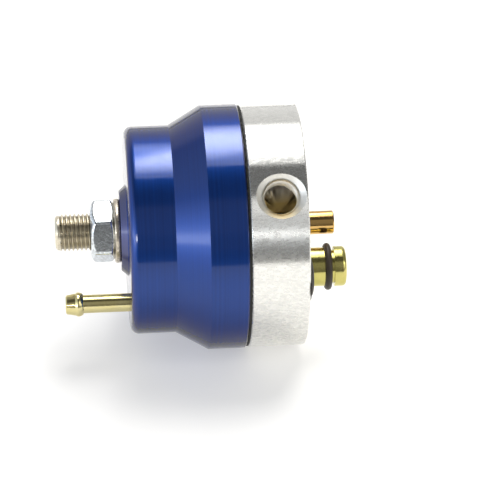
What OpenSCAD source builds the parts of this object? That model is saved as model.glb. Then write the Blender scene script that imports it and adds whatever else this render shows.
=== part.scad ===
// Adjustable fuel pressure regulator that plugs into a fuel rail.
// The regulator's axis is X: +X points to the rail, -X to the adjuster, +Z is up.
// The origin is the centre of the mounting face, where the return tube comes out.
// Each piece is turned about a local Z axis that along_x() lays down on X, so a
// "height" below is a place along the axis. Clock angles start at -Y and rise towards +Z.

/* [Bonnet] */
// Step from the body up to the bonnet's flange
flange_step = 0.2; // [0:0.05:0.5]
// Straight length of the flange
flange_len = 9.4; // [8.5:0.1:13]
// Length of the cone between flange and crown
taper_len = 8.1; // [5:0.1:11]
// Outer diameter of the crown
crown_d = 52.6; // [50:0.1:56]
// Straight length of the crown, with its rounded edge
crown_len = 11.3; // [8:0.1:15]
// Radius of the crown's edge
crown_edge_r = 2.1; // [0.5:0.1:3]
// Thickness of the crown's roof
roof_t = 4.7; // [3.5:0.1:6]
// Diameter of the boss under the washer, at its foot
boss_foot_d = 23.3; // [20:0.1:26]
// Diameter of the boss at its top
boss_top_d = 20.3; // [17:0.1:20.5]
// Height of the boss
boss_h = 1.7; // [1:0.1:3]

/* [Body] */
// Outer diameter of the body
body_d = 61.6; // [60:0.1:64]
// Length of the body from the joint to the mounting face
body_len = 14.3; // [13.4:0.1:18]
// Thickness of the floor between fuel chamber and mounting face
floor_t = 5; // [4:0.1:5.4]
// Diameter of the fuel and spring chambers
chamber_d = 40; // [37:0.1:42]
// Diameter of the hub that holds the valve seat
hub_d = 13.6; // [12.4:0.1:14.4]
// Chamfer that breaks the turned edges
edge_break = 0.3; // [0.1:0.05:0.5]

/* [Diaphragm] */
// Thickness of the diaphragm
diaphragm_t = 0.65; // [0.4:0.05:1]
// Step from the body's edge down to the diaphragm's edge
diaphragm_inset = 0.2; // [0:0.05:0.6]
// Height of the moulded roll between the plates and the clamped rim
roll_h = 2; // [1:0.1:2.6]

/* [Clamp screws] */
// Nominal diameter of a clamp screw
clamp_d = 5; // [4:0.5:5]
// Distance from a screw's head to the body's edge
clamp_inset = 0; // [0:0.05:0.4]
// Number of clamp screws
clamp_count = 2; // [2:1:4]
// Clock angle of the first clamp screw
clamp_angle = -2.5; // [-6:0.5:0]
// Diameter of a screw's flanged head
clamp_head_d = 11.6; // [9:0.1:12]
// Height of a screw's head
clamp_head_h = 1.2; // [1:0.1:2.7]
// Depth of thread in the bonnet flange
clamp_grip = 7.5; // [6:0.1:7.9]
// Hex key size of the clamp screws
clamp_key = 3; // [2:0.5:3.5]

/* [Gauge port] */
// Minor diameter of the tapped gauge port
port_d = 8.8; // [7:0.1:9]
// Diameter of the port's countersink
port_sink_d = 12.4; // [10.5:0.1:12.6]
// Depth of the port below the body's surface
port_depth = 7.3; // [6.5:0.1:7.3]
// Diameter of the passage from the port into the fuel chamber
port_passage_d = 2; // [1.6:0.1:2.4]
// Distance of the passage from the port's axis, on the port's lower side
port_passage_offset = 3.2; // [0:0.1:3.2]
// Clock angle of the port
port_angle = 42.7; // [38:0.1:48]
// Distance of the port's axis from the mounting face
port_from_face = 6.6; // [6.5:0.1:7.8]

/* [Inlet spigot] */
// Clock angle of the spigot
spigot_angle = -47.3; // [-55:0.1:-40]
// Distance of the spigot from the regulator's axis
spigot_offset = 11.5; // [11.4:0.1:13]
// Diameter of the spigot's neck
neck_d = 9.9; // [9.6:0.1:10.2]
// Length of the neck, from the mounting face to the O-ring groove
neck_len = 5.7; // [4:0.1:8]
// Width of the O-ring groove
groove_w = 2.5; // [2.2:0.1:3.5]
// Diameter of the spigot's head
head_d = 10.2; // [9.8:0.1:10.8]
// Length of the spigot's head
head_len = 3; // [2.5:0.1:5]
// Radius of the rounded end of the head
head_edge_r = 1; // [0.4:0.1:1.4]
// Diameter of the shank in the body's floor
shank_d = 7.4; // [7:0.1:7.8]
// Diameter of the fuel passage through the spigot
spigot_bore_d = 5; // [3:0.1:5.4]
// Outer diameter of the O-ring on the spigot
o_ring_d = 12; // [11.6:0.1:12.6]
// Section of the O-ring on the spigot
o_ring_t = 1.78; // [1.5:0.01:2]
// Section of the seal under the spigot's shoulder
base_seal_t = 0.9; // [0.6:0.05:1]

/* [Return tube and seat] */
// Outer diameter of the return tube
tube_d = 6; // [5:0.1:7]
// Inner diameter of the return tube and of the valve seat
tube_bore_d = 3.6; // [2.5:0.1:3.8]
// Length of the return tube beyond the mounting face
tube_len = 8.9; // [6:0.1:16]
// Diameter of the tube's shank in the floor
tube_shank_d = 5; // [4.6:0.1:5]
// Outer diameter of the valve seat insert
seat_d = 9.6; // [9:0.1:10]
// Length of the valve seat insert, without its lip
seat_len = 3.8; // [3.4:0.1:4.2]
// Height of the seat's lip
lip_h = 1; // [0.5:0.1:1.5]
// Width of the seat's lip
lip_w = 0.9; // [0.5:0.1:1.5]
// Section of the seat's O-ring
seat_ring_t = 1.3; // [1:0.05:1.5]

/* [Valve] */
// Diameter of the lower plate
lower_plate_d = 29; // [25:0.1:30]
// Thickness of the upper and lower plates
plate_t = 1.4; // [1:0.1:1.6]
// Height of the hub under the lower plate
holder_hub_h = 1.3; // [1:0.1:1.4]
// Diameter of the hub under the lower plate
holder_hub_d = 12; // [10:0.1:14]
// Diameter of the stud through the diaphragm
stud_d = 6; // [5.4:0.1:7]
// Diameter of the valve's ball
ball_d = 3.8; // [3.4:0.1:4]
// Diameter of the flat valve disc
disc_d = 8.4; // [7.5:0.1:9]
// Thickness of the valve disc
disc_t = 0.8; // [0.6:0.05:1]
// Thickness of the ring that retains the ball
retainer_t = 0.5; // [0.4:0.05:0.6]
// Wire diameter of the small spring behind the ball
valve_wire_d = 0.4; // [0.3:0.05:0.5]
// Length of the small spring behind the ball
valve_spring_len = 2.8; // [2:0.1:3.5]
// Turns of the small spring
valve_spring_turns = 5; // [4:0.5:6]
// Size across the flats of the stem nut
stem_nut_af = 10; // [8:0.5:13]
// Thickness of the stem nut
stem_nut_t = 3.2; // [2.5:0.1:5]

/* [Main spring] */
// Outer diameter of the main spring
spring_d = 25.8; // [22:0.1:28]
// Wire diameter of the main spring
wire_d = 2.8; // [2:0.1:3]
// Turns of the main spring, with its closed ends
spring_turns = 4.5; // [4:0.5:5]
// Height of the rim of the spring cup
cup_rim_h = 2.6; // [1:0.1:4]
// Thickness of the spring cap's flange
cap_t = 3; // [2:0.1:4]
// Depth of the recess for the adjuster's tip
cap_recess = 0.8; // [0.4:0.1:1.5]
// Height of the spring cap's pilot
cap_pilot_h = 2.4; // [1:0.1:4]

/* [Adjuster] */
// Major diameter of the adjuster's thread
thread_d = 9.525; // [8:0.005:10]
// Length of the adjuster
adjuster_len = 25.2; // [24.4:0.1:26]
// Length of the adjuster beyond the lock nut
adjuster_proud = 8.9; // [8.6:0.1:9.6]
// Chamfer at the ends of the adjuster
adjuster_chamfer = 0.9; // [0.4:0.1:1.2]
// Hex key size of the adjuster
adjuster_key = 4.76; // [4:0.02:5]
// Depth of the adjuster's hex socket
adjuster_key_depth = 5; // [3:0.1:7]
// Size across the flats of the lock nut
nut_af = 14.29; // [13:0.01:16]
// Thickness of the lock nut
nut_t = 6; // [5:0.1:6.7]
// Diameter of the lock nut's outer face, inside its chamfer
nut_face_d = 13; // [10.8:0.1:13.8]
// Angle of the lock nut's flat above the direction to the viewer
nut_angle = 14.7; // [0:0.1:59]
// Outer diameter of the sealing washer
washer_d = 16.3; // [15:0.1:17]
// Thickness of the sealing washer
washer_t = 1.5; // [1:0.1:2]
// Width of the rubber lip inside the sealing washer
washer_lip_w = 1.5; // [0.8:0.1:2]

/* [Vacuum barb] */
// Clock angle of the barb
barb_angle = -47.3; // [-55:0.1:-40]
// Distance of the barb from the regulator's axis
barb_offset = 18.6; // [17.6:0.1:19]
// Diameter of the barb's tube
barb_d = 4.65; // [4:0.05:5.2]
// Diameter of the bulb that holds the hose
bulb_d = 6.2; // [5.6:0.1:7]
// Diameter of the barb's mouth
barb_tip_d = 4.85; // [4:0.05:5.2]
// Length of the barb outside the crown
barb_len = 16.2; // [12:0.1:20]
// Distance from the mouth to the widest part of the bulb
bulb_from_tip = 3; // [2:0.1:4]
// Length of the bulb's back
bulb_back = 1.45; // [1:0.05:2]
// Bore of the barb
barb_bore_d = 2.6; // [2:0.1:3]

/* [Clearances] */
// Radial gap of pressed and seated pieces
seat_gap = 0.02; // [0.01:0.005:0.03]
// Radial gap between threads, drawn plain at their major diameter
thread_gap = 0.05; // [0.03:0.01:0.08]
// Radial gap round a clamp screw in the body and the diaphragm
screw_gap = 0.25; // [0.15:0.05:0.4]
// Gap between moving faces at rest
rest_gap = 0.05; // [0.02:0.01:0.1]
// Gap between the ball retainer and the valve disc
tilt_gap = 0.25; // [0.15:0.05:0.35]
// Radial gap round the main spring and the pilot inside it
spring_gap = 0.3; // [0.2:0.05:0.5]

/* [Hidden] */
$fn = 96;
// Amount by which a cut runs past the face that it opens
cut = 1;

// Heights of the housing, from the mounting face at 0 towards the adjuster
joint_z = -body_len;
dry_z = joint_z - diaphragm_t;
flange_z = dry_z - flange_len;
taper_z = flange_z - taper_len;
crown_z = taper_z - crown_len;
roof_z = crown_z + roof_t;
boss_z = crown_z - boss_h;
washer_z = boss_z - washer_t;
nut_z = washer_z - nut_t;
adjuster_z = nut_z - adjuster_proud;
adjuster_tip_z = adjuster_z + adjuster_len;

// Heights of the valve, from the joint towards the return tube
lower_plate_z = joint_z + plate_t;
holder_z = lower_plate_z + holder_hub_h;
retainer_z = holder_z + retainer_t;
disc_top_z = retainer_z + tilt_gap;
disc_z = disc_top_z + disc_t;
lip_z = disc_z + rest_gap;
hub_z = lip_z + lip_h;
seat_z = hub_z + seat_len;
ball_r = ball_d / 2;
// Share of the ball's radius from its centre to the flat on the disc
ball_flat = 0.75;
ball_z = disc_top_z - ball_flat * ball_r;
ball_cage_r = ball_r + rest_gap;
ball_top_z = ball_z - ball_r;

// Heights of the spring pack, from the diaphragm towards the adjuster
cup_z = dry_z - plate_t;
stem_nut_z = cup_z - stem_nut_t;
stud_z = stem_nut_z - plate_t / 2;
cap_z = adjuster_tip_z + rest_gap - cap_recess;
cap_flange_z = cap_z + cap_t;
spring_len = cup_z - cap_flange_z - 2 * rest_gap;

// Diameters of the pieces that line up with the body's edge
flange_d = body_d + 2 * flange_step;
diaphragm_d = body_d - 2 * diaphragm_inset;
clamp_circle_d = body_d - clamp_head_d - 2 * clamp_inset;

// Radii that several pieces share
thread_hole_r = thread_d / 2 + thread_gap;
spring_out_r = spring_d / 2;
spring_in_r = spring_out_r - wire_d;
cup_in_r = spring_out_r + spring_gap;
cup_out_r = cup_in_r + plate_t;
roll_out_r = chamber_d / 2 - edge_break;
roll_in_r = cup_out_r + edge_break;
stud_hole_r = stud_d / 2 + thread_gap;
ring_r = (o_ring_d - o_ring_t) / 2;
groove_r = ring_r - o_ring_t / 2 - seat_gap;
base_seal_r = shank_d / 2 + seat_gap + base_seal_t / 2;
base_seal_sink_r = base_seal_r + base_seal_t / 2 + seat_gap;
seat_ring_r = seat_d / 2 - seat_ring_t / 2;
valve_spring_r = ball_r * 0.62;
valve_spring_bore_r = valve_spring_r + valve_wire_d / 2 + rest_gap;

// The ball's widest circle inside the retainer, and the place of the spring on the ball
retainer_hole_r = sqrt(ball_r * ball_r - pow(max(0, holder_z - ball_z), 2)) + rest_gap;
valve_spring_rest_z = ball_z - sqrt(ball_r * ball_r - valve_spring_r * valve_spring_r);
valve_spring_top_z = valve_spring_rest_z - valve_spring_len - rest_gap;

// Place of a clock angle and radius in a piece's own frame
function clock(angle, radius) = [-radius * sin(angle), -radius * cos(angle), 0];

// Points of a quarter round from one angle to another
function arc(centre, radius, from, to, steps = 10) =
    [for (i = [0:steps])
        let (a = from + (to - from) * i / steps)
        [centre[0] + radius * cos(a), centre[1] + radius * sin(a)]];

// Lays a piece turned about Z down on the regulator's axis
module along_x() {
    rotate([0, 90, 0]) children();
}

// Moves a piece out to its clock angle and height
module at_clock(angle, radius, z) {
    translate(clock(angle, radius) + [0, 0, z]) children();
}

// Points a piece's Z axis outwards along a clock angle
module radially(angle) {
    rotate([0, 0, -angle]) rotate([90, 0, 0]) children();
}

// Straight round bar between two heights
module bar(d, from, to) {
    translate([0, 0, min(from, to)]) cylinder(d = d, h = abs(to - from));
}

// Hex prism between two heights, measured across its flats
module hex_bar(af, from, to) {
    translate([0, 0, min(from, to)]) cylinder(d = af / cos(30), h = abs(to - from), $fn = 6);
}

// Round ring of round section at a height
module ring(mean_r, section, z) {
    translate([0, 0, z]) rotate_extrude() translate([mean_r, 0]) circle(d = section, $fn = 32);
}

// Hex nut chamfered at 30 degrees, standing on Z = 0 on its outer face of radius face_r
module hex_nut(af, t, hole_r, face_r) {
    corner_r = af / 2 / cos(30);
    top_r = af / 2 * 0.97;
    difference() {
        intersection() {
            hex_bar(af, 0, t);
            rotate_extrude()
                polygon([
                    [0, 0], [face_r, 0], [corner_r, (corner_r - face_r) * tan(30)],
                    [corner_r, t - (corner_r - top_r) * tan(30)], [top_r, t], [0, t]
                ]);
        }
        bar(2 * hole_r, -cut, t + cut);
        for (end = [0, t])
            translate([0, 0, end])
                mirror([0, 0, end > 0 ? 1 : 0])
                    translate([0, 0, -cut])
                        cylinder(r1 = hole_r + edge_break + cut, r2 = hole_r, h = edge_break + cut);
    }
}

// Wire coil with closed ends, standing on Z = 0: rings of points along the helix
module coil(mean_r, wire, height, turns, steps, sides) {
    rise = height - wire;
    closed = 0.75;
    closed_pitch = wire * 1.04;
    open_pitch = (rise - 2 * closed * closed_pitch) / (turns - 2 * closed);
    function lift(t) =
        t < closed ? t * closed_pitch
        : t > turns - closed ? rise - (turns - t) * closed_pitch
        : closed * closed_pitch + (t - closed) * open_pitch;
    rings = turns * steps;
    points = [
        for (i = [0:rings], k = [0:sides - 1])
            let (
                turn = 360 * i / steps,
                round = 360 * k / sides,
                r = mean_r + wire / 2 * cos(round)
            )
            [r * cos(turn), r * sin(turn), wire / 2 + lift(i / steps) + wire / 2 * sin(round)]
    ];
    walls = [
        for (i = [0:rings - 1], k = [0:sides - 1])
            let (a = i * sides, b = a + sides, next = (k + 1) % sides)
            [a + k, a + next, b + next, b + k]
    ];
    ends = [
        [for (k = [sides - 1:-1:0]) k],
        [for (k = [0:sides - 1]) rings * sides + k]
    ];
    polyhedron(points, concat(walls, ends), convexity = 10);
}

// Spring cover, turned from bar: flange, cone, rounded crown and boss
module bonnet() {
    crown_r = crown_d / 2;
    flange_r = flange_d / 2;
    profile = concat(
        [
            [flange_r - edge_break, dry_z],
            [flange_r, dry_z - edge_break],
            [flange_r, flange_z],
            [crown_r, taper_z]
        ],
        arc([crown_r - crown_edge_r, crown_z + crown_edge_r], crown_edge_r, 0, -90),
        [
            [boss_foot_d / 2, crown_z],
            [boss_top_d / 2, boss_z],
            [0, boss_z],
            [0, dry_z]
        ]
    );
    color("royalblue") along_x() difference() {
        rotate_extrude() polygon(profile);
        bar(chamber_d, roof_z, dry_z + cut);
        bar(2 * thread_hole_r, boss_z - cut, roof_z + cut);
        at_clock(barb_angle, barb_offset, 0)
            bar(barb_d + 2 * seat_gap, crown_z - cut, roof_z + cut);
        clamp_pattern()
            bar(clamp_d + 2 * thread_gap, dry_z - clamp_grip - edge_break, dry_z + cut);
    }
}

// Repeats a piece at each clamp screw
module clamp_pattern() {
    for (i = [0:clamp_count - 1])
        at_clock(clamp_angle + 360 * i / clamp_count, clamp_circle_d / 2, 0) children();
}

// Base with the fuel chamber, the seat's hub, the gauge port and the spigot's hole
module body() {
    body_r = body_d / 2;
    profile = [
        [0, 0], [body_r - edge_break, 0], [body_r, -edge_break],
        [body_r, joint_z + edge_break], [body_r - edge_break, joint_z], [0, joint_z]
    ];
    color("gainsboro") along_x() difference() {
        rotate_extrude() polygon(profile);
        difference() {
            bar(chamber_d, joint_z - cut, -floor_t);
            bar(hub_d, hub_z, cut);
        }
        bar(seat_d + 2 * seat_gap, joint_z, seat_z);
        bar(tube_shank_d + 2 * seat_gap, joint_z, cut);
        at_clock(spigot_angle, spigot_offset, 0) {
            bar(shank_d + 2 * seat_gap, -floor_t - cut, cut);
            bar(2 * base_seal_sink_r, -base_seal_t - seat_gap, cut);
        }
        clamp_pattern() bar(clamp_d + 2 * screw_gap, joint_z - cut, cut);
        translate([0, 0, -port_from_face]) radially(port_angle) gauge_port(body_r);
    }
}

// Cutter for the tapped gauge port: countersink, thread bore, drill point and passage
module gauge_port(surface_r) {
    bottom = surface_r - port_depth;
    sink = (port_sink_d - port_d) / 2;
    point_h = port_d / 2 / tan(59);
    bar(port_d, bottom, surface_r + cut);
    translate([0, 0, surface_r - sink])
        cylinder(d1 = port_d, d2 = port_sink_d + 2 * cut, h = sink + cut);
    translate([0, 0, bottom - point_h]) cylinder(d1 = 0, d2 = port_d, h = point_h);
    translate([port_passage_offset, 0, 0]) bar(port_passage_d, chamber_d / 2 - cut, bottom);
}

// Reinforced rubber diaphragm with a moulded roll
module diaphragm() {
    roll_mid_r = (roll_in_r + roll_out_r) / 2;
    roll_half_w = (roll_out_r - roll_in_r) / 2;
    roll = [for (a = [0:10:180]) [roll_mid_r - roll_half_w * cos(a), -roll_h * sin(a)]];
    inner = [for (a = [180:-10:0])
        [roll_mid_r - (roll_half_w - diaphragm_t) * cos(a), -(roll_h - diaphragm_t) * sin(a)]];
    profile = concat(
        [[stud_hole_r, joint_z], [stud_hole_r, dry_z]],
        [for (p = roll) [p[0], dry_z + p[1]]],
        [[diaphragm_d / 2, dry_z], [diaphragm_d / 2, joint_z]],
        [for (p = inner) [p[0], joint_z + p[1]]]
    );
    color([0.11, 0.11, 0.09]) along_x() difference() {
        rotate_extrude() polygon(profile);
        clamp_pattern() bar(clamp_d + 2 * screw_gap, dry_z - roll_h - cut, joint_z + cut);
    }
}

// Low flanged button-head screws that clamp body and bonnet together
module clamp_screws() {
    flange_h = clamp_head_h * 0.45;
    dome_r = clamp_head_d * 0.4;
    tip_z = dry_z - clamp_grip;
    profile = concat(
        [
            [0, tip_z],
            [clamp_d / 2 - edge_break, tip_z],
            [clamp_d / 2, tip_z + edge_break],
            [clamp_d / 2, 0],
            [clamp_head_d / 2, 0],
            [clamp_head_d / 2, flange_h * 0.5],
            [dome_r, flange_h]
        ],
        [for (a = [10:10:60]) [dome_r * cos(a), flange_h + (clamp_head_h - flange_h) * sin(a) / sin(60)]],
        [[0, clamp_head_h]]
    );
    color([0.12, 0.11, 0.1]) along_x() clamp_pattern() difference() {
        rotate_extrude() polygon(profile);
        hex_bar(clamp_key, clamp_head_h * 0.3, clamp_head_h + cut);
    }
}

// Hose barb pressed into the crown's roof
module vacuum_barb() {
    tip_z = crown_z - barb_len;
    bulb_z = tip_z + bulb_from_tip;
    back_z = bulb_z + bulb_back;
    bulb_r = bulb_d / 2;
    tube_r = barb_d / 2;
    profile = concat(
        [
            [barb_bore_d / 2, roof_z],
            [barb_bore_d / 2, tip_z],
            [barb_tip_d / 2 - edge_break, tip_z],
            [barb_tip_d / 2, tip_z + edge_break],
            [bulb_r - edge_break, bulb_z - edge_break * 2]
        ],
        [for (a = [0:15:90]) [tube_r + (bulb_r - tube_r) * cos(a), bulb_z + bulb_back * sin(a)]],
        [[tube_r, back_z], [tube_r, roof_z]]
    );
    color([0.78, 0.74, 0.38]) along_x()
        at_clock(barb_angle, barb_offset, 0) rotate_extrude() polygon(profile);
}

// Plug-in spigot that carries fuel from the rail into the chamber
module inlet_spigot() {
    groove_z = neck_len + groove_w;
    end_z = groove_z + head_len;
    head_r = head_d / 2;
    bore_r = spigot_bore_d / 2;
    profile = concat(
        [
            [bore_r, -floor_t],
            [bore_r, end_z - edge_break],
            [bore_r + edge_break, end_z]
        ],
        arc([head_r - head_edge_r, end_z - head_edge_r], head_edge_r, 90, 0),
        [
            [head_r, groove_z],
            [groove_r, groove_z],
            [groove_r, neck_len],
            [neck_d / 2, neck_len],
            [neck_d / 2, 0],
            [shank_d / 2, 0],
            [shank_d / 2, -floor_t]
        ]
    );
    color([0.78, 0.74, 0.38]) along_x()
        at_clock(spigot_angle, spigot_offset, 0) rotate_extrude() polygon(profile);
}

// Rail seal in the spigot's groove, pushed against the neck
module spigot_o_ring() {
    color([0.2, 0.16, 0.11]) along_x()
        at_clock(spigot_angle, spigot_offset, 0)
            ring(ring_r, o_ring_t, neck_len + o_ring_t / 2 + seat_gap);
}

// Seal between the spigot's shoulder and the mounting face
module spigot_base_seal() {
    color([0.2, 0.16, 0.11]) along_x()
        at_clock(spigot_angle, spigot_offset, 0) ring(base_seal_r, base_seal_t, -base_seal_t / 2);
}

// Return tube with a turned-down shank pressed into the floor
module return_tube() {
    color([0.8, 0.55, 0.25]) along_x() difference() {
        union() {
            bar(tube_shank_d, seat_z, cut);
            rotate_extrude()
                polygon([
                    [0, 0], [tube_d / 2, 0], [tube_d / 2, tube_len - edge_break],
                    [tube_d / 2 - edge_break, tube_len], [0, tube_len]
                ]);
        }
        bar(tube_bore_d, seat_z - cut, tube_len + cut);
    }
}

// Valve seat insert with its raised lip and O-ring groove
module valve_seat() {
    bore_r = tube_bore_d / 2;
    seat_r = seat_d / 2;
    ring_z = (hub_z + seat_z) / 2;
    groove_half = seat_ring_t / 2 + seat_gap;
    profile = [
        [bore_r, lip_z], [bore_r + lip_w, lip_z], [bore_r + lip_w + lip_h / 2, hub_z], [seat_r, hub_z],
        [seat_r, ring_z - groove_half],
        [seat_ring_r - groove_half, ring_z - groove_half],
        [seat_ring_r - groove_half, ring_z + groove_half],
        [seat_r, ring_z + groove_half], [seat_r, seat_z], [bore_r, seat_z]
    ];
    color([0.8, 0.68, 0.35]) along_x() rotate_extrude() polygon(profile);
}

// Seal between the valve seat and its hub
module seat_o_ring() {
    color([0.2, 0.16, 0.11]) along_x() ring(seat_ring_r, seat_ring_t, (hub_z + seat_z) / 2);
}

// Threaded adjuster with a hex socket, drawn at the thread's major diameter
module adjuster_screw() {
    thread_r = thread_d / 2;
    profile = [
        [0, adjuster_z],
        [thread_r - adjuster_chamfer, adjuster_z],
        [thread_r, adjuster_z + adjuster_chamfer],
        [thread_r, adjuster_tip_z - adjuster_chamfer],
        [thread_r - adjuster_chamfer, adjuster_tip_z],
        [0, adjuster_tip_z]
    ];
    color([0.68, 0.65, 0.58]) along_x() difference() {
        rotate_extrude() polygon(profile);
        hex_bar(adjuster_key, adjuster_z - cut, adjuster_z + adjuster_key_depth);
    }
}

// Hex jam nut that locks the adjuster
module lock_nut() {
    color([0.8, 0.81, 0.8]) along_x()
        translate([0, 0, nut_z]) rotate([0, 0, -nut_angle])
            hex_nut(nut_af, nut_t, thread_hole_r, nut_face_d / 2);
}

// Metal ring of the bonded sealing washer
module seal_washer() {
    rim = edge_break;
    outer = washer_d / 2;
    inner = thread_hole_r + washer_lip_w + seat_gap;
    profile = [
        [inner, boss_z], [outer - rim, boss_z], [outer, boss_z - rim],
        [outer, washer_z + rim], [outer - rim, washer_z], [inner, washer_z]
    ];
    color([0.7, 0.68, 0.62]) along_x() rotate_extrude() polygon(profile);
}

// Rubber lip of the bonded sealing washer
module washer_rubber() {
    color([0.2, 0.16, 0.11]) along_x() difference() {
        bar(2 * (thread_hole_r + washer_lip_w), washer_z, boss_z);
        bar(2 * thread_hole_r, washer_z - cut, boss_z + cut);
    }
}

// Upper spring seat: a flange, a pilot inside the spring and a recess for the adjuster's tip
module spring_cap() {
    pilot_r = spring_in_r - spring_gap;
    flange_r = spring_out_r + spring_gap;
    profile = [
        [0, cap_z], [flange_r - edge_break, cap_z], [flange_r, cap_z + edge_break],
        [flange_r, cap_flange_z], [pilot_r, cap_flange_z],
        [pilot_r - edge_break, cap_flange_z + cap_pilot_h], [0, cap_flange_z + cap_pilot_h]
    ];
    color([0.72, 0.73, 0.75]) along_x() difference() {
        rotate_extrude() polygon(profile);
        bar(2 * thread_hole_r, cap_z - cut, cap_z + cap_recess);
    }
}

// Main spring between the spring cap and the spring cup
module main_spring() {
    color([0.45, 0.46, 0.48]) along_x()
        translate([0, 0, cap_flange_z + rest_gap])
            coil(spring_out_r - wire_d / 2, wire_d, spring_len, spring_turns, 24, 12);
}

// Spring cup on the dry side of the diaphragm
module upper_plate() {
    rim_z = cup_z - cup_rim_h;
    profile = [
        [stud_hole_r, dry_z], [cup_out_r - edge_break, dry_z], [cup_out_r, dry_z - edge_break],
        [cup_out_r, rim_z], [cup_in_r, rim_z], [cup_in_r, cup_z], [stud_hole_r, cup_z]
    ];
    color([0.72, 0.73, 0.75]) along_x() rotate_extrude() polygon(profile);
}

// Lower plate with the stud through the diaphragm and the cage of the valve's ball
module valve_holder() {
    color([0.72, 0.73, 0.75]) along_x() difference() {
        union() {
            bar(lower_plate_d, joint_z, lower_plate_z);
            bar(holder_hub_d, joint_z, holder_z);
            bar(stud_d, stud_z, joint_z + plate_t / 2);
        }
        translate([0, 0, ball_z]) sphere(r = ball_cage_r);
        bar(2 * ball_cage_r, ball_z, holder_z + cut);
        bar(2 * valve_spring_bore_r, valve_spring_top_z - rest_gap, ball_z);
    }
}

// Nut that clamps the two plates on the diaphragm
module stem_nut() {
    color([0.72, 0.73, 0.75]) along_x()
        translate([0, 0, stem_nut_z]) hex_nut(stem_nut_af, stem_nut_t, stud_hole_r, stem_nut_af / 2);
}

// Ball that lets the valve disc align itself, flat where the disc is fixed to it
module valve_ball() {
    color([0.75, 0.76, 0.78]) along_x() intersection() {
        translate([0, 0, ball_z]) sphere(r = ball_r);
        bar(2 * ball_d, ball_top_z - cut, disc_top_z);
    }
}

// Ring that keeps the ball in the holder
module ball_retainer() {
    color([0.62, 0.63, 0.65]) along_x() difference() {
        bar(holder_hub_d, holder_z, retainer_z);
        bar(2 * retainer_hole_r, holder_z - cut, retainer_z + cut);
    }
}

// Flat valve that closes on the seat's lip
module valve_disc() {
    color([0.75, 0.76, 0.78]) along_x() bar(disc_d, disc_top_z, disc_z);
}

// Small spring that presses the ball and its valve towards the seat
module valve_spring() {
    color([0.45, 0.46, 0.48]) along_x()
        translate([0, 0, valve_spring_top_z])
            coil(valve_spring_r, valve_wire_d, valve_spring_len, valve_spring_turns, 16, 8);
}

bonnet();
body();
diaphragm();
clamp_screws();
vacuum_barb();
inlet_spigot();
spigot_o_ring();
spigot_base_seal();
return_tube();
valve_seat();
seat_o_ring();
adjuster_screw();
lock_nut();
seal_washer();
washer_rubber();
spring_cap();
main_spring();
upper_plate();
valve_holder();
stem_nut();
valve_ball();
ball_retainer();
valve_disc();
valve_spring();
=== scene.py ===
"""Looks of the fuel pressure regulator, laid out as a Blender add-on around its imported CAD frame.

The regulator's axis is X, and all places are in the CAD's own frame. Sizes are written in
millimetres and turned to metres by MM. Clock angles start at -Y and rise towards +Z.
"""

import math

import bmesh
import bpy
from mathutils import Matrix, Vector


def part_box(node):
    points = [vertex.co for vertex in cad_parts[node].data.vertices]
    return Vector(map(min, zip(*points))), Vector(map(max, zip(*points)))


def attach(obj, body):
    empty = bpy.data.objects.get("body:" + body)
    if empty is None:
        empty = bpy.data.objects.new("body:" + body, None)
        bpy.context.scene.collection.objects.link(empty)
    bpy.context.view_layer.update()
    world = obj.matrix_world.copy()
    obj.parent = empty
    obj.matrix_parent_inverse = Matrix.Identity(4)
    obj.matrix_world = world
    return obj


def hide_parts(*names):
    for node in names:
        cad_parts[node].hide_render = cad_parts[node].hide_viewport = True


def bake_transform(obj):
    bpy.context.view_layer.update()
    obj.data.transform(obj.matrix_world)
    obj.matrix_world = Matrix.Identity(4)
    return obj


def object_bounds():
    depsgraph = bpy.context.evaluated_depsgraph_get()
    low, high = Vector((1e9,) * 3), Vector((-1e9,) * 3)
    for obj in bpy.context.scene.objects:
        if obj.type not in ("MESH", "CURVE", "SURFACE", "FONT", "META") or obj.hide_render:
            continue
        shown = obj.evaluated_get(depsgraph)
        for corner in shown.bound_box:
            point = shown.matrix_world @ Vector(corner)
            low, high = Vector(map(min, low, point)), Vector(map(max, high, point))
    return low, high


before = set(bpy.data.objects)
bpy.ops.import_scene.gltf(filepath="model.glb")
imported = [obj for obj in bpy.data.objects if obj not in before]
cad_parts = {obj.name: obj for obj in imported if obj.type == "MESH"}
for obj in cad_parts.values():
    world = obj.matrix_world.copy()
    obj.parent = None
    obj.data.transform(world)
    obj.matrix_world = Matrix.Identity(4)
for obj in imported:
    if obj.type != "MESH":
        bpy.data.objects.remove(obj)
CAD_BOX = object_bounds()

bl_info = {
    "name": "Fuel Pressure Regulator",
    "version": (1, 0, 0),
    "blender": (4, 5, 0),
    "location": "View3D > Sidebar > Regulator",
    "description": "Builds the finishes, threads and studio of a fuel pressure regulator",
    "category": "Object",
}

MM = 0.001
# Keeps a drawn surface off the solid beside it
CLEARANCE = 0.02 * MM
# Where the lights aim
MIDDLE = (-0.02, 0, 0)


def linear(code):
    """Turns an sRGB hex colour into linear red, green and blue."""
    parts = [int(code[i:i + 2], 16) / 255 for i in (1, 3, 5)]
    return tuple(p / 12.92 if p <= 0.04045 else ((p + 0.055) / 1.055) ** 2.4 for p in parts)


def colour(label, note, code):
    """A colour property with its default written as sRGB hex."""
    return bpy.props.FloatVectorProperty(
        name=label, description=note, subtype="COLOR", size=3, min=0, max=1, default=linear(code))


def length(label, note, millimetres):
    """A length property with its default written in millimetres."""
    return bpy.props.FloatProperty(
        name=label, description=note, subtype="DISTANCE", unit="LENGTH", min=0, precision=5,
        default=millimetres * MM)


def angle(label, note, degrees):
    """An angle property with its default written in degrees."""
    return bpy.props.FloatProperty(
        name=label, description=note, subtype="ANGLE", unit="ROTATION", default=math.radians(degrees))


def brightness(label, note, strength):
    """A property for the strength of a light."""
    return bpy.props.FloatProperty(name=label, description=note, min=0, default=strength)


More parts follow.
